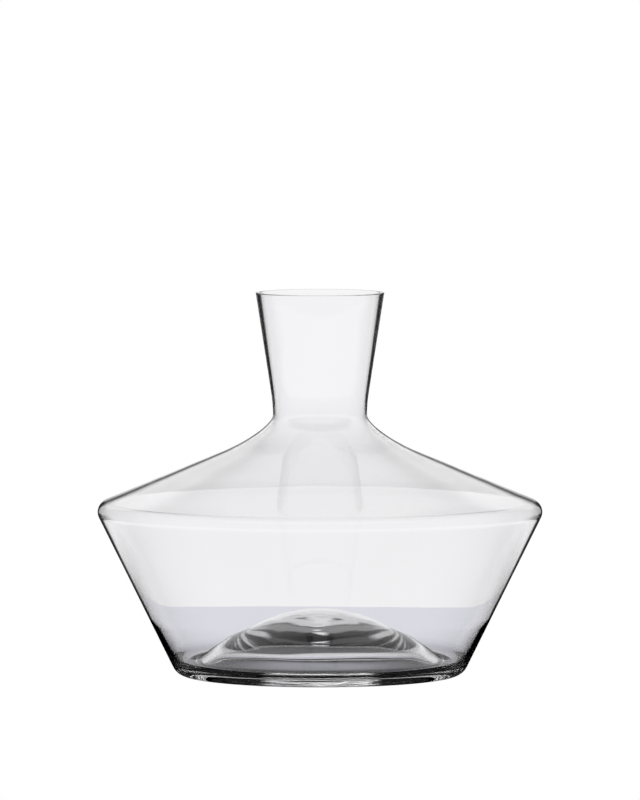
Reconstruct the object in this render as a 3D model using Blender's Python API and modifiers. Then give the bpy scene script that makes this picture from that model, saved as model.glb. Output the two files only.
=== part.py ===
"""Wine decanter: one vessel of clear blown glass, turned about +Z.

From the top down it has a cut rim, a flared neck, a narrow throat, a shallow
conical shoulder, a tightly rounded belly, a bowl that leans in to a small
foot, and a punt, the dome of the floor that rises inside the bowl.

Metres, +Z up. The origin is the centre of the foot ring, on the surface that
the decanter stands on.
"""

import math

import bpy
from mathutils import Vector

COLLECTION_NAME = "wine_decanter"
VESSEL_NAME = "glass_vessel"

# Overall size of the outside.
HEIGHT = 0.1896
BELLY_RADIUS = 0.1100
RIM_RADIUS = 0.0318

# Neck and throat.
THROAT_RADIUS = 0.02326
THROAT_HEIGHT = 0.1291
NECK_LEAN = math.radians(8.8)
NECK_BLEND_RADIUS = 0.066

# Flare from the throat into the shoulder cone.
FLARE_DROP = 0.0041
FLARE_REACH = 0.0152
SHOULDER_TOP_RADIUS = 0.0478
SHOULDER_SLOPE = math.radians(22.66)

# Belly and bowl.
BELLY_HEIGHT = 0.0810
BELLY_FILLET = 0.0060
BOWL_LEAN = math.radians(26.27)

# Foot: a rounded heel, a narrow flat ring to stand on, and the punt inside it.
HEEL_FILLET = 0.0077
RING_INNER_RADIUS = 0.0610
RING_EDGE_FILLET = 0.0030
UNDERSIDE_SLOPE = math.radians(34.0)
UNDERSIDE_DOME_RADIUS = 0.092

# Glass thickness, square to the outside.
LIP_WALL = 0.0024
NECK_FOOT_WALL = 0.0013
NECK_FOOT_HEIGHT = 0.1396
THROAT_WALL = 0.00095
SHOULDER_WALL = 0.00085
BOWL_WALL = 0.00106

# Inside of the foot: the wall thickens down to a rounded gutter around the punt.
THICKENING_HEIGHT = 0.0280
THICKENING_BLEND_RADIUS = 0.120
GUTTER_CORNER = Vector((0.0683, 0.0007))
GUTTER_RADIUS = 0.0096
PUNT_SLOPE = math.radians(34.2)
PUNT_DOME_RADIUS = 0.0679

# Facets.
TURN_STEPS = 64
NECK_BLEND_STEPS = 3
FLARE_STEPS = 8
BELLY_STEPS = 6
HEEL_STEPS = 5
RING_EDGE_STEPS = 2
DOME_STEPS = 5
GUTTER_STEPS = 6
THICKENING_STEPS = 2
MERGE_DISTANCE = 0.00001

# Clear glass.
GLASS_COLOR = (0.97, 0.98, 0.98, 1.0)
GLASS_ROUGHNESS = 0.02
GLASS_IOR = 1.52


def heading(angle):
    """Unit vector in the (radius, height) plane, angle measured up from the radius axis."""
    return Vector((math.cos(angle), math.sin(angle)))


def arc(centre, radius, start, end, steps):
    """Points on a circular arc, both ends included."""
    return [centre + radius * heading(start + (end - start) * i / steps) for i in range(steps + 1)]


def fillet(before, corner, after, radius, steps):
    """Points on the arc that rounds a corner between two straight lines."""
    to_before = (before - corner).normalized()
    to_after = (after - corner).normalized()
    half_angle = to_before.angle(to_after) / 2
    bisector = (to_before + to_after).normalized()
    centre = corner + bisector * radius / math.sin(half_angle)
    tangent_length = radius / math.tan(half_angle)
    first = corner + to_before * tangent_length - centre
    last = corner + to_after * tangent_length - centre
    start = math.atan2(first.y, first.x)
    turn = math.remainder(math.atan2(last.y, last.x) - start, math.tau)
    return arc(centre, radius, start, start + turn, steps)


def bezier(start, start_handle, end_handle, end, steps):
    """Points on a cubic curve, both ends included."""
    points = []
    for i in range(steps + 1):
        t = i / steps
        s = 1 - t
        points.append(s**3 * start + 3 * s * s * t * start_handle
                      + 3 * s * t * t * end_handle + t**3 * end)
    return points


def outer_side():
    """Outside from the rim down to the end of the bowl's straight, and the bowl line's foot."""
    rim = Vector((RIM_RADIUS, HEIGHT))
    throat = Vector((THROAT_RADIUS, THROAT_HEIGHT))
    neck_foot = Vector((THROAT_RADIUS, HEIGHT - (RIM_RADIUS - THROAT_RADIUS) / math.tan(NECK_LEAN)))
    neck = [rim] + fillet(rim, neck_foot, throat, NECK_BLEND_RADIUS, NECK_BLEND_STEPS)

    belly_centre = Vector((BELLY_RADIUS - BELLY_FILLET, BELLY_HEIGHT))
    belly_top = math.pi / 2 - SHOULDER_SLOPE
    belly = arc(belly_centre, BELLY_FILLET, belly_top, -BOWL_LEAN, BELLY_STEPS)
    up_shoulder = heading(math.pi - SHOULDER_SLOPE)
    shoulder_length = (belly[0].x - SHOULDER_TOP_RADIUS) / math.cos(SHOULDER_SLOPE)
    shoulder_top = belly[0] + up_shoulder * shoulder_length
    flare = bezier(throat, throat - Vector((0, FLARE_DROP)),
                   shoulder_top + up_shoulder * FLARE_REACH, shoulder_top, FLARE_STEPS)

    bowl_end = belly[-1]
    bowl_foot = Vector((bowl_end.x - bowl_end.y * math.tan(BOWL_LEAN), 0))
    return neck + flare + belly, bowl_foot


def wall_at(height):
    """Glass thickness of the neck, shoulder and bowl at a height."""
    stations = [(HEIGHT, LIP_WALL), (NECK_FOOT_HEIGHT, NECK_FOOT_WALL), (THROAT_HEIGHT, THROAT_WALL),
                (BELLY_HEIGHT + BELLY_FILLET, SHOULDER_WALL), (BELLY_HEIGHT, BOWL_WALL)]
    for (top, top_wall), (bottom, bottom_wall) in zip(stations, stations[1:]):
        if height >= bottom:
            return bottom_wall + (top_wall - bottom_wall) * (height - bottom) / (top - bottom)
    return BOWL_WALL


def inset(points):
    """The inside line of a wall whose outside line runs top to bottom."""
    inside = []
    for i, point in enumerate(points):
        along = (points[min(i + 1, len(points) - 1)] - points[max(i - 1, 0)]).normalized()
        inward = Vector((along.y, -along.x))
        inside.append(point + inward * wall_at(point.y))
    return inside


def dome(slope, foot, radius, steps):
    """Points down a dome, from its top on the axis to where its side turns straight."""
    apex_of_side = foot.y + foot.x * math.tan(slope)
    centre = Vector((0, apex_of_side - radius / math.cos(slope)))
    return arc(centre, radius, math.pi / 2, math.pi / 2 - slope, steps)


def vessel_outline():
    """Closed outline of the glass: up the inside from the axis, and down the outside."""
    outside, bowl_foot = outer_side()
    foot_centre = Vector((0, 0))
    heel = fillet(outside[-1], bowl_foot, foot_centre, HEEL_FILLET, HEEL_STEPS)

    ring_inner = Vector((RING_INNER_RADIUS, 0))
    underside = dome(UNDERSIDE_SLOPE, ring_inner, UNDERSIDE_DOME_RADIUS, DOME_STEPS)
    ring_edge = fillet(bowl_foot, ring_inner, underside[-1], RING_EDGE_FILLET, RING_EDGE_STEPS)

    inside = inset(outside)
    rim_inner = Vector((inside[0].x, HEIGHT))
    side_above = inside[-1]
    thickening = Vector((side_above.x - (side_above.y - THICKENING_HEIGHT) * math.tan(BOWL_LEAN),
                         THICKENING_HEIGHT))
    punt = dome(PUNT_SLOPE, GUTTER_CORNER, PUNT_DOME_RADIUS, DOME_STEPS)
    gutter = fillet(punt[-1], GUTTER_CORNER, thickening, GUTTER_RADIUS, GUTTER_STEPS)
    lower_side = fillet(GUTTER_CORNER, thickening, side_above, THICKENING_BLEND_RADIUS,
                        THICKENING_STEPS)

    floor_and_side = punt + gutter + lower_side + inside[:0:-1] + [rim_inner]
    foot = heel + ring_edge + underside[::-1]
    return floor_and_side + outside + foot


def drop_repeats(points):
    """The same points without those that coincide with the one before."""
    kept = points[:1]
    for point in points[1:]:
        if (point - kept[-1]).length > MERGE_DISTANCE:
            kept.append(point)
    return kept


def turned_object(name, outline, material):
    """A solid of revolution: the outline as a profile at +X with a Screw modifier."""
    mesh = bpy.data.meshes.new(name)
    vertices = [(point.x, 0.0, point.y) for point in outline]
    edges = [(i, i + 1) for i in range(len(outline) - 1)]
    mesh.from_pydata(vertices, edges, [])
    mesh.materials.append(material)
    turned = bpy.data.objects.new(name, mesh)
    screw = turned.modifiers.new("Turn", "SCREW")
    screw.axis = "Z"
    screw.angle = math.tau
    screw.steps = TURN_STEPS
    screw.render_steps = TURN_STEPS
    screw.use_merge_vertices = True
    screw.merge_threshold = MERGE_DISTANCE
    screw.use_smooth_shade = True
    return turned


def clear_glass():
    """Material of the vessel."""
    material = bpy.data.materials.new("clear_glass")
    material.use_nodes = True
    shader = material.node_tree.nodes["Principled BSDF"]
    shader.inputs["Base Color"].default_value = GLASS_COLOR
    shader.inputs["Roughness"].default_value = GLASS_ROUGHNESS
    shader.inputs["Metallic"].default_value = 0.0
    shader.inputs["IOR"].default_value = GLASS_IOR
    shader.inputs["Transmission Weight"].default_value = 1.0
    return material


def main():
    for old in list(bpy.data.objects):
        bpy.data.objects.remove(old)
    collection = bpy.data.collections.new(COLLECTION_NAME)
    bpy.context.scene.collection.children.link(collection)
    vessel = turned_object(VESSEL_NAME, drop_repeats(vessel_outline()), clear_glass())
    collection.objects.link(vessel)


main()
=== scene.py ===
import math

import bpy
import numpy as np
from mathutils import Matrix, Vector


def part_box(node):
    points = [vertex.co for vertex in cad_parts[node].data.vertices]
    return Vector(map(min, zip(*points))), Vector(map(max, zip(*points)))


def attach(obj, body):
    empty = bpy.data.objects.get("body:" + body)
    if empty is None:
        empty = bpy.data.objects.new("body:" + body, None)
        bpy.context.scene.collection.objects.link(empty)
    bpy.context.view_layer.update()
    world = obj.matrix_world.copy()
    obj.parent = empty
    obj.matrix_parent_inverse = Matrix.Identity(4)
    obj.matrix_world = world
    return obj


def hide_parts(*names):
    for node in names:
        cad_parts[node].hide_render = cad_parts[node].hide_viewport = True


# Looks of the wine decanter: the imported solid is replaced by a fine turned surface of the
# same profile with the slight unevenness of blown glass, and gets its clear glass and light.
# Metres, +Z up; the vessel stands on z = 0 and turns about the Z axis.

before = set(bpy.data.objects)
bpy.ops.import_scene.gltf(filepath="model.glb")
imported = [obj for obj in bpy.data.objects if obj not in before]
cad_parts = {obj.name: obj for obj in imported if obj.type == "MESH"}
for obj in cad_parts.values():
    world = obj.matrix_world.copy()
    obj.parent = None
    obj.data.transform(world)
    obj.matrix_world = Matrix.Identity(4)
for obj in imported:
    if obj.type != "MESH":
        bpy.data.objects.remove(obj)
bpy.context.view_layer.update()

VESSEL_NODE = "glass_vessel"
vessel_low, vessel_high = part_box(VESSEL_NODE)

# Outside of the vessel. Height and belly come from the frame.
HEIGHT = vessel_high.z
BELLY_RADIUS = vessel_high.x
RIM_RADIUS = 0.0318
THROAT_RADIUS = 0.02326
THROAT_HEIGHT = 0.1291
NECK_LEAN = math.radians(8.8)
NECK_BLEND_RADIUS = 0.066
FLARE_DROP = 0.0041
FLARE_REACH = 0.0152
SHOULDER_TOP_RADIUS = 0.0478
SHOULDER_SLOPE = math.radians(22.66)
BELLY_HEIGHT = 0.0810
BELLY_FILLET = 0.0060
BOWL_LEAN = math.radians(26.27)
HEEL_FILLET = 0.0077
RING_INNER_RADIUS = 0.0610
RING_EDGE_FILLET = 0.0030
UNDERSIDE_SLOPE = math.radians(34.0)
UNDERSIDE_DOME_RADIUS = 0.092

# Glass thickness, square to the outside.
LIP_WALL = 0.0024
NECK_FOOT_WALL = 0.0013
NECK_FOOT_HEIGHT = 0.1396
THROAT_WALL = 0.00095
SHOULDER_WALL = 0.00085
BOWL_WALL = 0.00106
LIP_INNER_EDGE = 0.00050
LIP_OUTER_EDGE = 0.00015
LIP_SUPPORT = 0.00010

# Inside of the foot.
THICKENING_HEIGHT = 0.0280
THICKENING_BLEND_RADIUS = 0.120
GUTTER_CORNER = Vector((0.0683, 0.0007))
GUTTER_RADIUS = 0.0096
PUNT_SLOPE = math.radians(34.2)
PUNT_DOME_RADIUS = 0.0679

# Mesh fineness: steps round the axis, and along each stretch of the outline.
TURN_STEPS = 256
LIP_INNER_STEPS = 8
LIP_OUTER_STEPS = 6
NECK_STEPS = 10
NECK_BLEND_STEPS = 16
FLARE_STEPS = 36
BELLY_STEPS = 28
BOWL_STEPS = 12
RING_STEPS = 3
RING_EDGE_STEPS = 12
GUTTER_SIDE_STEPS = 4
THICKENING_STEPS = 10
STRAIGHT_STEPS = 8
FOOT_ARC_STEPS = 24
MERGE_DISTANCE = 2e-6
SHARP_ANGLE = math.radians(40)

# Unevenness of the blown surface: (depth, turns round the axis, length along the wall, phase).
# The wall waves run all over, and the floor waves are added in the foot.
WALL_WAVES = (
    (0.000008, 2, 0.034, 0.3),
    (0.000004, 3, 0.019, 1.9),
    (0.000002, 5, 0.011, 4.0),
)
FLOOR_WAVES = (
    (0.000050, 2, 0.031, 0.8),
    (0.000028, 3, 0.013, 2.6),
    (0.000010, 7, 0.008, 5.1),
)
WAVE_BEND = 0.9
# The waves fade out between these heights or radii: (none, full).
RIM_FADE = (HEIGHT - 0.003, HEIGHT - 0.012)
RING_FADE = (0.0004, 0.003)
AXIS_FADE = (0.0, 0.012)
FLOOR_FADE = (RING_INNER_RADIUS, RING_INNER_RADIUS - 0.008)

# Glass. Noise scales are in 1/m.
GLASS_IOR = 1.52
TINTS = ((0.990, 0.986, 1.0), (0.998, 0.996, 1.0))
TINT_SCALE = 14
CORD_SCALE = 40
CORD_FLATTENING = 6
CORD_DEPTH = 0.000012
WEAR_SCALE = 900
WEAR_HEIGHT = ((0.0, 1), (0.00015, 1), (0.0005, 0), (0.001, 0))
WEAR_SPREAD = ((0.0, 0), (0.52, 0), (0.62, 1), (1.0, 1))
WEAR_ROUGHNESS = 0.3

# Camera.
LENS = 425.0
SENSOR_WIDTH = 36.0
CAMERA_RANGE = 4.668
CAMERA_PITCH = math.radians(3.7166)
AIM_HEIGHT = 0.1363

# Stage.
FLOOR_HALF_SIZE = 100.0
FLOOR_SIDES = 4
FLOOR_GAP = 0.0002
TABLE_INRADIUS = 0.335
TABLE_SIDES = 8
TABLE_GAP = 0.0001
TABLE_COLOR = (0.76, 0.765, 0.83)
# Brightness of the table top by distance from the vessel's axis: a painted contact shadow under
# the foot.
CONTACT_SHADE = ((0, 0.45), (0.02, 0.40), (0.04, 0.18), (0.052, 0.06), (0.060, 0.02),
                 (0.064, 0.03), (0.070, 0.65), (0.085, 0.9), (0.12, 1.0), (0.40, 1.0))
# How open the table top is to mirrored rays by that distance, mirrored by the outside or inside.
# Where it is shut, those rays find it black: painted shade in the reflections near the foot.
MIRRORED_OUTSIDE = ((0, 0), (0.19, 0), (0.28, 1), (0.40, 1))
MIRRORED_INSIDE = ((0, 0), (0.085, 0), (0.105, 1), (0.40, 1))

# Light bounces.
MAX_BOUNCES = 40
MIRROR_BOUNCES = 20


def heading(angle):
    """Unit vector in the (radius, height) plane, angle measured up from the radius axis."""
    return Vector((math.cos(angle), math.sin(angle)))


def arc(centre, radius, start, end, steps):
    """Points on a circular arc, both ends included."""
    return [centre + radius * heading(start + (end - start) * i / steps) for i in range(steps + 1)]


def line(start, end, steps):
    """Points on a straight line, without its two ends."""
    return [start.lerp(end, i / steps) for i in range(1, steps)]


def fillet(before, corner, after, radius, steps):
    """Points on the arc that rounds a corner between two straight lines."""
    to_before = (before - corner).normalized()
    to_after = (after - corner).normalized()
    half_angle = to_before.angle(to_after) / 2
    bisector = (to_before + to_after).normalized()
    centre = corner + bisector * radius / math.sin(half_angle)
    tangent_length = radius / math.tan(half_angle)
    first = corner + to_before * tangent_length - centre
    last = corner + to_after * tangent_length - centre
    start = math.atan2(first.y, first.x)
    turn = math.remainder(math.atan2(last.y, last.x) - start, math.tau)
    return arc(centre, radius, start, start + turn, steps)


def bezier(start, start_handle, end_handle, end, steps):
    """Points on a cubic curve, both ends included."""
    points = []
    for i in range(steps + 1):
        t = i / steps
        s = 1 - t
        points.append(s**3 * start + 3 * s * s * t * start_handle
                      + 3 * s * t * t * end_handle + t**3 * end)
    return points


def outer_side():
    """Outside from the rim down to the end of the belly's bend, and the bowl line's foot."""
    rim = Vector((RIM_RADIUS, HEIGHT))
    throat = Vector((THROAT_RADIUS, THROAT_HEIGHT))
    neck_length = (RIM_RADIUS - THROAT_RADIUS) / math.tan(NECK_LEAN)
    neck_foot = Vector((THROAT_RADIUS, HEIGHT - neck_length))
    blend = fillet(rim, neck_foot, throat, NECK_BLEND_RADIUS, NECK_BLEND_STEPS)
    neck = [rim] + line(rim, blend[0], NECK_STEPS) + blend

    belly_centre = Vector((BELLY_RADIUS - BELLY_FILLET, BELLY_HEIGHT))
    belly = arc(belly_centre, BELLY_FILLET, math.pi / 2 - SHOULDER_SLOPE, -BOWL_LEAN, BELLY_STEPS)
    up_shoulder = heading(math.pi - SHOULDER_SLOPE)
    shoulder_length = (belly[0].x - SHOULDER_TOP_RADIUS) / math.cos(SHOULDER_SLOPE)
    shoulder_top = belly[0] + up_shoulder * shoulder_length
    flare = bezier(throat, throat - Vector((0, FLARE_DROP)),
                   shoulder_top + up_shoulder * FLARE_REACH, shoulder_top, FLARE_STEPS)
    shoulder = line(shoulder_top, belly[0], STRAIGHT_STEPS)

    bowl_end = belly[-1]
    bowl_foot = Vector((bowl_end.x - bowl_end.y * math.tan(BOWL_LEAN), 0))
    return neck + flare + shoulder + belly, bowl_foot


def wall_at(height):
    """Glass thickness of the neck, shoulder and bowl at a height."""
    stations = [(HEIGHT, LIP_WALL), (NECK_FOOT_HEIGHT, NECK_FOOT_WALL),
                (THROAT_HEIGHT, THROAT_WALL), (BELLY_HEIGHT + BELLY_FILLET, SHOULDER_WALL),
                (BELLY_HEIGHT, BOWL_WALL)]
    for (top, top_wall), (bottom, bottom_wall) in zip(stations, stations[1:]):
        if height >= bottom:
            return bottom_wall + (top_wall - bottom_wall) * (height - bottom) / (top - bottom)
    return BOWL_WALL


def inset(points):
    """The inside line of a wall whose outside line runs top to bottom."""
    inside = []
    for i, point in enumerate(points):
        along = (points[min(i + 1, len(points) - 1)] - points[max(i - 1, 0)]).normalized()
        inward = Vector((along.y, -along.x))
        inside.append(point + inward * wall_at(point.y))
    return inside


def dome(slope, foot, radius, steps):
    """Points down a dome, from its top on the axis to where its side turns straight."""
    apex_of_side = foot.y + foot.x * math.tan(slope)
    centre = Vector((0, apex_of_side - radius / math.cos(slope)))
    return arc(centre, radius, math.pi / 2, math.pi / 2 - slope, steps)


def vessel_outline():
    """The floor and inside up to the rim, the rim with the outside, and the foot's underside."""
    outside, bowl_foot = outer_side()
    inside = inset(outside)
    rim_inner = Vector((inside[0].x, HEIGHT))
    rim = (fillet(inside[1], rim_inner, outside[0], LIP_INNER_EDGE, LIP_INNER_STEPS)
           + fillet(rim_inner, outside[0], outside[1], LIP_OUTER_EDGE, LIP_OUTER_STEPS))
    # Rings close to the rounded edges keep the shading of the long walls straight.
    below_inside = rim[0] + (inside[1] - rim[0]).normalized() * LIP_SUPPORT
    below_outside = rim[-1] + (outside[1] - rim[-1]).normalized() * LIP_SUPPORT
    rim = [below_inside] + rim + [below_outside]

    heel = fillet(outside[-1], bowl_foot, Vector((0, 0)), HEEL_FILLET, FOOT_ARC_STEPS)
    ring_inner = Vector((RING_INNER_RADIUS, 0))
    underside = dome(UNDERSIDE_SLOPE, ring_inner, UNDERSIDE_DOME_RADIUS, FOOT_ARC_STEPS)
    ring_edge = fillet(bowl_foot, ring_inner, underside[-1], RING_EDGE_FILLET, RING_EDGE_STEPS)
    foot = (line(outside[-1], heel[0], BOWL_STEPS) + heel
            + line(heel[-1], ring_edge[0], RING_STEPS) + ring_edge
            + line(ring_edge[-1], underside[-1], STRAIGHT_STEPS) + underside[::-1])

    side_above = inside[-1]
    thickening = Vector((side_above.x - (side_above.y - THICKENING_HEIGHT) * math.tan(BOWL_LEAN),
                         THICKENING_HEIGHT))
    punt = dome(PUNT_SLOPE, GUTTER_CORNER, PUNT_DOME_RADIUS, FOOT_ARC_STEPS)
    gutter = fillet(punt[-1], GUTTER_CORNER, thickening, GUTTER_RADIUS, FOOT_ARC_STEPS)
    lower_side = fillet(GUTTER_CORNER, thickening, side_above, THICKENING_BLEND_RADIUS,
                        THICKENING_STEPS)
    floor = (punt + line(punt[-1], gutter[0], STRAIGHT_STEPS) + gutter
             + line(gutter[-1], lower_side[0], GUTTER_SIDE_STEPS) + lower_side
             + line(lower_side[-1], side_above, STRAIGHT_STEPS))
    return floor + inside[:0:-1] + rim + outside[1:] + foot


def drop_repeats(points):
    """The same points without those that coincide with the one before."""
    kept = points[:1]
    for point in points[1:]:
        if (point - kept[-1]).length > MERGE_DISTANCE:
            kept.append(point)
    return kept


def smooth_step(values, low, high):
    """0 at low, 1 at high and beyond, and an S-shaped rise between them. Low may be the larger."""
    t = np.clip((values - low) / (high - low), 0, 1)
    return t * t * (3 - 2 * t)


def waves(table, distance, angle):
    """Height of a set of waves at distances along the wall and angles round the axis."""
    total = np.zeros(np.broadcast(distance, angle).shape)
    for depth, turns, length, phase in table:
        total += depth * np.sin(math.tau * distance / length + phase
                                + WAVE_BEND * np.sin(turns * angle + 2 * phase))
    return total


def turned_mesh(name, outline):
    """A closed surface of revolution of the outline, with the unevenness of blown glass."""
    points = np.array([point[:] for point in outline])
    radius, height = points[:, :1], points[:, 1:]
    along = np.gradient(points, axis=0)
    along /= np.linalg.norm(along, axis=1, keepdims=True)
    lengths = np.linalg.norm(np.diff(points, axis=0, prepend=points[:1]), axis=1)
    distance = np.cumsum(lengths)[:, None]
    angle = np.arange(TURN_STEPS)[None, :] * math.tau / TURN_STEPS

    fade = (smooth_step(height, *RIM_FADE) * smooth_step(height, *RING_FADE)
            * smooth_step(radius, *AXIS_FADE))
    in_foot = smooth_step(radius, *FLOOR_FADE) * (height < BELLY_HEIGHT)
    offset = fade * (waves(WALL_WAVES, distance, angle)
                     + in_foot * waves(FLOOR_WAVES, distance, angle))
    ring_radius = radius - along[:, 1:] * offset
    ring_height = height + along[:, :1] * offset

    rings = np.stack([ring_radius * np.cos(angle), ring_radius * np.sin(angle),
                      np.broadcast_to(ring_height, ring_radius.shape)], axis=-1)
    body = rings[1:-1].reshape(-1, 3)
    poles = np.array([[0, 0, height[0, 0]], [0, 0, height[-1, 0]]])
    first_pole, last_pole = len(body), len(body) + 1
    columns = np.arange(TURN_STEPS)
    after = (columns + 1) % TURN_STEPS
    faces = [(first_pole, int(a), int(b)) for a, b in zip(columns, after)]
    for row in range(len(points) - 3):
        start, below = row * TURN_STEPS, (row + 1) * TURN_STEPS
        faces += [(int(start + a), int(below + a), int(below + b), int(start + b))
                  for a, b in zip(columns, after)]
    start = (len(points) - 3) * TURN_STEPS
    faces += [(int(start + a), last_pole, int(start + b)) for a, b in zip(columns, after)]

    mesh = bpy.data.meshes.new(name)
    mesh.from_pydata(np.concatenate([body, poles]).tolist(), [], faces)
    mesh.shade_smooth()
    mesh.set_sharp_from_angle(angle=SHARP_ANGLE)
    return mesh


def add_object(name, mesh, material):
    """A new object of the mesh with the material, in the scene."""
    mesh.materials.append(material)
    made = bpy.data.objects.new(name, mesh)
    bpy.context.scene.collection.objects.link(made)
    return made


def new_material(name):
    """A material with an empty node tree, its tree and its output node."""
    material = bpy.data.materials.new(name)
    material.use_nodes = True
    tree = material.node_tree
    tree.nodes.clear()
    return material, tree, tree.nodes.new("ShaderNodeOutputMaterial")


def math_node(tree, operation, *values):
    """Output of a Math node. Each value is a number or a socket."""
    node = tree.nodes.new("ShaderNodeMath")
    node.operation = operation
    for socket, value in zip(node.inputs, values):
        if isinstance(value, (int, float)):
            socket.default_value = value
        else:
            tree.links.new(value, socket)
    return node.outputs[0]


def curve(tree, value, stops):
    """Output of a colour ramp through (value, brightness) stops, straight between them."""
    low, high = stops[0][0], stops[-1][0]
    spread = tree.nodes.new("ShaderNodeMapRange")
    spread.inputs["From Min"].default_value = low
    spread.inputs["From Max"].default_value = high
    tree.links.new(value, spread.inputs["Value"])
    ramp = tree.nodes.new("ShaderNodeValToRGB")
    tree.links.new(spread.outputs[0], ramp.inputs[0])
    elements = ramp.color_ramp.elements
    while len(elements) < len(stops):
        elements.new(0.5)
    for element, (at, brightness) in zip(elements, stops):
        element.position = (at - low) / (high - low)
        element.color = (brightness, brightness, brightness, 1)
    return ramp.outputs[0]


def noise(tree, vector, scale, detail):
    """Output of a noise texture at a scale in 1/m."""
    node = tree.nodes.new("ShaderNodeTexNoise")
    node.inputs["Scale"].default_value = scale
    node.inputs["Detail"].default_value = detail
    tree.links.new(vector, node.inputs["Vector"])
    return node.outputs["Fac"]


def clear_glass():
    """Clear blown glass: faint cords in the surface, and fine wear on the ring under it."""
    material, tree, output = new_material("clear_glass")
    place = tree.nodes.new("ShaderNodeTexCoord").outputs["Object"]
    split = tree.nodes.new("ShaderNodeSeparateXYZ")
    tree.links.new(place, split.inputs[0])

    stretch = tree.nodes.new("ShaderNodeMapping")
    stretch.inputs["Scale"].default_value = (1, 1, CORD_FLATTENING)
    tree.links.new(place, stretch.inputs["Vector"])
    cords = noise(tree, stretch.outputs[0], CORD_SCALE, detail=1)
    bump = tree.nodes.new("ShaderNodeBump")
    bump.inputs["Distance"].default_value = CORD_DEPTH
    tree.links.new(cords, bump.inputs["Height"])

    near_ring = curve(tree, split.outputs[2], WEAR_HEIGHT)
    scratches = curve(tree, noise(tree, place, WEAR_SCALE, detail=3), WEAR_SPREAD)
    wear = math_node(tree, "MULTIPLY", near_ring, scratches)

    tint = tree.nodes.new("ShaderNodeMix")
    tint.data_type = "RGBA"
    tint.inputs["A"].default_value = (*TINTS[0], 1)
    tint.inputs["B"].default_value = (*TINTS[1], 1)
    tree.links.new(noise(tree, place, TINT_SCALE, detail=1), tint.inputs["Factor"])

    shader = tree.nodes.new("ShaderNodeBsdfPrincipled")
    shader.inputs["Transmission Weight"].default_value = 1.0
    shader.inputs["IOR"].default_value = GLASS_IOR
    tree.links.new(tint.outputs["Result"], shader.inputs["Base Color"])
    roughness = math_node(tree, "MULTIPLY", wear, WEAR_ROUGHNESS)
    tree.links.new(roughness, shader.inputs["Roughness"])
    tree.links.new(bump.outputs[0], shader.inputs["Normal"])
    tree.links.new(shader.outputs[0], output.inputs["Surface"])
    return material


def light_path(tree, name):
    """One output of the Light Path node."""
    return tree.nodes.new("ShaderNodeLightPath").outputs[name]


def glow(name, color):
    """A surface that shines evenly with one colour."""
    material, tree, output = new_material(name)
    emission = tree.nodes.new("ShaderNodeEmission")
    emission.inputs["Color"].default_value = (*color, 1)
    tree.links.new(emission.outputs[0], output.inputs["Surface"])
    return material


def distance_from_axis(tree):
    """How far a level surface's point is from the vessel's axis."""
    length = tree.nodes.new("ShaderNodeVectorMath")
    length.operation = "LENGTH"
    tree.links.new(tree.nodes.new("ShaderNodeTexCoord").outputs["Object"], length.inputs[0])
    return length.outputs["Value"]


def lit_table():
    """The table top as a light box, with a painted contact shadow under the foot.

    Rays that the glass mirrored find it black near the foot, a painted shade in the reflections,
    and gone farther out.
    """
    material, tree, output = new_material("table_light")
    distance = distance_from_axis(tree)
    through = tree.nodes.new("ShaderNodeEmission")
    through.inputs["Color"].default_value = (*TABLE_COLOR, 1)
    # Painted contact shadow: the table's glow is dimmed under the foot.
    tree.links.new(curve(tree, distance, CONTACT_SHADE), through.inputs["Strength"])
    # Black for mirrored rays near the foot: painted shade in the reflections.
    black = tree.nodes.new("ShaderNodeEmission")
    black.inputs["Color"].default_value = (0, 0, 0, 1)
    clear = tree.nodes.new("ShaderNodeBsdfTransparent")
    mirror = tree.nodes.new("ShaderNodeMixShader")
    outside = math_node(tree, "LESS_THAN", light_path(tree, "Transmission Depth"), 0.5)
    open_outside = math_node(tree, "MULTIPLY", outside, curve(tree, distance, MIRRORED_OUTSIDE))
    open_inside = math_node(tree, "MULTIPLY", math_node(tree, "SUBTRACT", 1, outside),
                            curve(tree, distance, MIRRORED_INSIDE))
    tree.links.new(math_node(tree, "ADD", open_outside, open_inside), mirror.inputs[0])
    tree.links.new(black.outputs[0], mirror.inputs[1])
    tree.links.new(clear.outputs[0], mirror.inputs[2])
    mix = tree.nodes.new("ShaderNodeMixShader")
    mirrored = math_node(tree, "GREATER_THAN", light_path(tree, "Glossy Depth"), 0.5)
    tree.links.new(mirrored, mix.inputs[0])
    tree.links.new(through.outputs[0], mix.inputs[1])
    tree.links.new(mirror.outputs[0], mix.inputs[2])
    tree.links.new(mix.outputs[0], output.inputs["Surface"])
    return material


def flat_polygon(name, inradius, sides, height, material):
    """A level regular polygon with a side facing the camera."""
    radius = inradius / math.cos(math.pi / sides)
    corners = [(radius * math.cos((i + 0.5) * math.tau / sides),
                radius * math.sin((i + 0.5) * math.tau / sides), height) for i in range(sides)]
    mesh = bpy.data.meshes.new(name)
    mesh.from_pydata(corners, [], [tuple(range(sides))])
    return add_object(name, mesh, material)


def seen_by(thing, **rays):
    """Sets which kinds of ray see a thing: the ones not named don't."""
    for kind in ("camera", "transmission", "glossy", "diffuse", "shadow"):
        setattr(thing, "visible_" + kind, rays.get(kind, False))


def add_stage():
    """White floor for the camera, and the table top that only the glass sees."""
    floor = flat_polygon("floor", FLOOR_HALF_SIZE, FLOOR_SIDES, -FLOOR_GAP,
                         glow("white", (1, 1, 1)))
    seen_by(floor, camera=True)
    table = flat_polygon("table", TABLE_INRADIUS, TABLE_SIDES, -TABLE_GAP, lit_table())
    seen_by(table, transmission=True, glossy=True)


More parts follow.
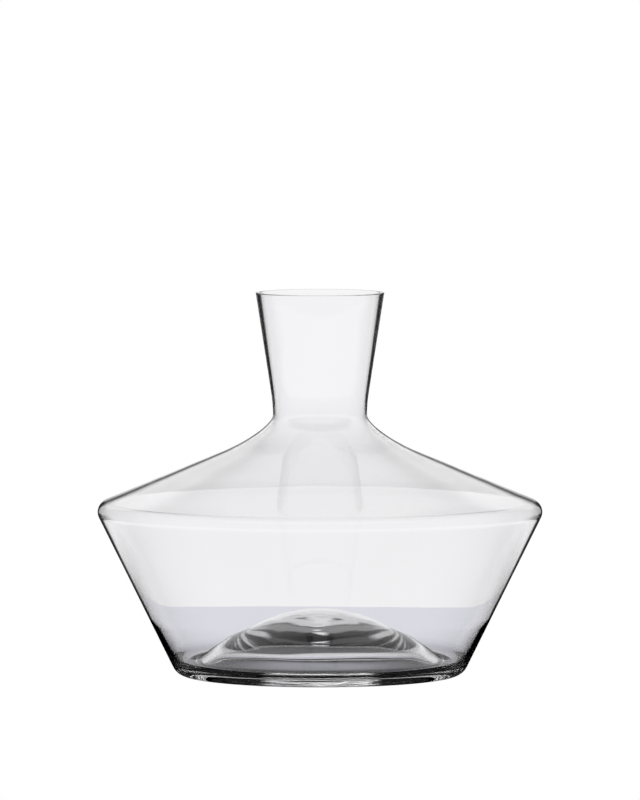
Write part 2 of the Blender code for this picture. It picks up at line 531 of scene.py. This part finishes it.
# Brightness of the studio by degrees above the horizon. The tables differ by how a ray met the
# glass: straight through it, or mirrored by its outside, inside the vessel or within one wall.
# They differ by sector of the studio too.
SEEN_THROUGH = ((-90, 1.0), (-8, 1.0), (-5, 0.97), (8, 0.95), (16, 0.2), (90, 0.1))
OUTSIDE_AHEAD = ((-90, 0.0), (-45, 0.1), (-32, 0.9), (-13, 0.9), (-11, 0.02), (8, 0.02),
                 (14, 0.9), (26, 0.9), (38, 0.6), (60, 0.6), (75, 0.5), (90, 0.5))
OUTSIDE_ASIDE = ((-90, 0.0), (-45, 0.1), (-32, 0.9), (-13, 0.9), (-11, 0.02), (-4.5, 0.02),
                 (-2, 0.9), (26, 0.9), (38, 0.6), (60, 0.6), (75, 0.5), (90, 0.5))
OUTSIDE_ELSEWHERE = ((-90, 0.0), (-45, 0.1), (-32, 0.9), (34, 0.9), (60, 0.6), (90, 0.5))
INSIDE_AHEAD = ((-90, 0.7), (-38, 0.7), (-22, 0.2), (-6, 0.05), (-1, 0.3), (4, 1.0), (14, 0.95),
                (22, 0.7), (38, 0.6), (60, 0.6), (90, 0.1))
INSIDE_BESIDE = ((-90, 0.7), (-38, 0.7), (-22, 0.2), (-6, 0.05), (-1, 0.2), (4, 0.5), (14, 0.5),
                 (22, 0.6), (38, 0.6), (60, 0.6), (90, 0.1))
INSIDE_BEHIND = ((-90, 0.7), (-38, 0.7), (-22, 0.2), (-6, 0.05), (-1, 0.2), (4, 0.5), (14, 0.5),
                 (24, 0.1), (34, 0.1), (42, 0.45), (58, 0.45), (66, 0.1), (90, 0.1))
WALL_AHEAD = ((-90, 0.02), (30, 0.02), (38, 0.6), (60, 0.6), (90, 0.2))
WALL_BESIDE = ((-90, 0.9), (-13, 0.9), (-11.5, 0.02), (90, 0.02))
WALL_BEHIND = ((-90, 0.9), (-16, 0.9), (-11, 0.02), (30, 0.02), (42, 0.75), (58, 0.75),
               (66, 0.1), (90, 0.1))
# What is left of the light inside the vessel by the number of mirrorings.
FADING_WITH_MIRRORINGS = ((0, 1.0), (1, 1.0), (3, 0.75), (4, 0.4), (5, 0.25), (6, 0.12),
                          (8, 0.03), (12, 0.01))
# Sectors of the studio, by degrees sideways from straight ahead of the photograph's camera.
AHEAD = ((0, 1), (36, 1), (46, 0), (180, 0))
STRAIGHT_AHEAD = ((0, 1), (13, 1), (16, 0), (180, 0))
BEHIND = ((0, 0), (100, 0), (130, 1), (180, 1))
# The white wall that the camera faces, by degrees up and sideways.
BACKDROP_UP = ((-90, 0), (-6, 0), (-3, 1), (4, 1), (7, 0), (90, 0))
BACKDROP_SIDEWAYS = ((0, 1), (2, 1), (7, 0), (180, 0))
BACKDROP = 0.95
# The light that reaches the sides of the punt after many mirrorings, by degrees up.
PUNT_LIGHT = ((-90, 0), (3, 0), (8, 0.6), (18, 0.6), (24, 0), (90, 0))
# The light that the front of the foot mirrors, by degrees up and sideways.
FOOT_LIGHT_UP = ((-90, 0), (7, 0), (12, 1), (27, 1), (33, 0), (90, 0))
FOOT_LIGHT_SIDEWAYS = ((0, 1), (27, 1), (32, 0), (180, 0))
FOOT_LIGHT = 3.6
FOOT_LIGHT_BY_MIRRORINGS = ((0, 0.2), (1, 0.2), (2, 1.0), (12, 1.0))
# Glass surfaces that a ray has passed when it comes out of the wall it went into.
CROSSINGS_OF_ONE_WALL = 2


def add_studio_light():
    """A soft studio round the vessel, white for rays that haven't met the glass."""
    world = bpy.data.worlds.new("studio")
    bpy.context.scene.world = world
    world.use_nodes = True
    tree = world.node_tree
    tree.nodes.clear()
    output = tree.nodes.new("ShaderNodeOutputWorld")
    background = tree.nodes.new("ShaderNodeBackground")
    background.inputs["Color"].default_value = (1, 1, 1, 1)
    tree.links.new(background.outputs[0], output.inputs["Surface"])

    split = tree.nodes.new("ShaderNodeSeparateXYZ")
    tree.links.new(tree.nodes.new("ShaderNodeTexCoord").outputs["Generated"], split.inputs[0])
    radians = math_node(tree, "ARCSINE", split.outputs[2])
    elevation = math_node(tree, "MULTIPLY", radians, 180 / math.pi)
    sideways = math_node(tree, "ARCTAN2", math_node(tree, "ABSOLUTE", split.outputs[0]),
                         split.outputs[1])
    azimuth = math_node(tree, "MULTIPLY", sideways, 180 / math.pi)

    mirrorings = light_path(tree, "Glossy Depth")
    crossings = light_path(tree, "Transmission Depth")
    mirrored = math_node(tree, "GREATER_THAN", mirrorings, 0.5)
    outside = math_node(tree, "LESS_THAN", crossings, 0.5)
    in_wall = math_node(tree, "COMPARE", crossings, CROSSINGS_OF_ONE_WALL, 0.5)
    inside = math_node(tree, "SUBTRACT", math_node(tree, "SUBTRACT", 1, outside), in_wall)
    straight = math_node(tree, "SUBTRACT", 1, mirrored)

    def product(*factors):
        """Output that multiplies all the factors."""
        total = factors[0]
        for factor in factors[1:]:
            total = math_node(tree, "MULTIPLY", total, factor)
        return total

    def total_of(*terms):
        """Output that adds up all the terms."""
        total = terms[0]
        for term in terms[1:]:
            total = math_node(tree, "ADD", total, term)
        return total

    ahead = curve(tree, azimuth, AHEAD)
    behind = curve(tree, azimuth, BEHIND)
    beside = math_node(tree, "SUBTRACT", math_node(tree, "SUBTRACT", 1, ahead), behind)
    near_ahead = curve(tree, azimuth, STRAIGHT_AHEAD)
    aside = math_node(tree, "SUBTRACT", ahead, near_ahead)
    backdrop = product(curve(tree, elevation, BACKDROP_UP),
                       curve(tree, azimuth, BACKDROP_SIDEWAYS))

    through = total_of(outside, product(math_node(tree, "SUBTRACT", 1, outside),
                                        curve(tree, elevation, SEEN_THROUGH)))
    off_surface = total_of(
        product(near_ahead, curve(tree, elevation, OUTSIDE_AHEAD)),
        product(aside, curve(tree, elevation, OUTSIDE_ASIDE)),
        product(total_of(beside, behind), curve(tree, elevation, OUTSIDE_ELSEWHERE)))
    fading = curve(tree, mirrorings, FADING_WITH_MIRRORINGS)
    cavity_walls = total_of(product(ahead, curve(tree, elevation, INSIDE_AHEAD)),
                            product(beside, curve(tree, elevation, INSIDE_BESIDE)),
                            product(behind, curve(tree, elevation, INSIDE_BEHIND)))
    punt_light = product(beside, curve(tree, elevation, PUNT_LIGHT),
                         math_node(tree, "SUBTRACT", 1, fading))
    in_cavity = total_of(product(cavity_walls, fading), punt_light)
    in_glass = total_of(product(near_ahead, curve(tree, elevation, WALL_AHEAD)),
                        product(total_of(aside, beside), curve(tree, elevation, WALL_BESIDE)),
                        product(behind, curve(tree, elevation, WALL_BEHIND)))
    foot_light = product(FOOT_LIGHT, curve(tree, elevation, FOOT_LIGHT_UP),
                         curve(tree, azimuth, FOOT_LIGHT_SIDEWAYS),
                         curve(tree, mirrorings, FOOT_LIGHT_BY_MIRRORINGS))
    mirror_image = total_of(
        product(outside, off_surface),
        product(inside, in_cavity),
        product(in_wall, total_of(in_glass, foot_light)))
    with_backdrop = total_of(product(math_node(tree, "SUBTRACT", 1, backdrop), mirror_image),
                             product(backdrop, BACKDROP))
    brightness = total_of(product(straight, through), product(mirrored, with_backdrop))
    tree.links.new(brightness, background.inputs["Strength"])


def add_camera():
    """The photograph's view: from a distance, a little above the rim."""
    data = bpy.data.cameras.new("camera")
    data.lens = LENS
    data.sensor_width = SENSOR_WIDTH
    data.clip_end = 5 * FLOOR_HALF_SIZE
    camera = bpy.data.objects.new("camera", data)
    bpy.context.scene.collection.objects.link(camera)
    camera.location = (0, -CAMERA_RANGE * math.cos(CAMERA_PITCH),
                       AIM_HEIGHT + CAMERA_RANGE * math.sin(CAMERA_PITCH))
    camera.rotation_euler = (math.pi / 2 - CAMERA_PITCH, 0, 0)
    bpy.context.scene.camera = camera


def set_light_limits():
    """Enough bounces for light that runs along inside the glass, and plain display colours."""
    scene = bpy.context.scene
    scene.view_settings.view_transform = "Standard"
    scene.cycles.max_bounces = MAX_BOUNCES
    scene.cycles.transmission_bounces = MAX_BOUNCES
    scene.cycles.glossy_bounces = MIRROR_BOUNCES


vessel = add_object("glass", turned_mesh("glass", drop_repeats(vessel_outline())), clear_glass())
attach(vessel, "root")
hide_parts(VESSEL_NODE)
add_stage()
add_studio_light()
add_camera()
set_light_limits()
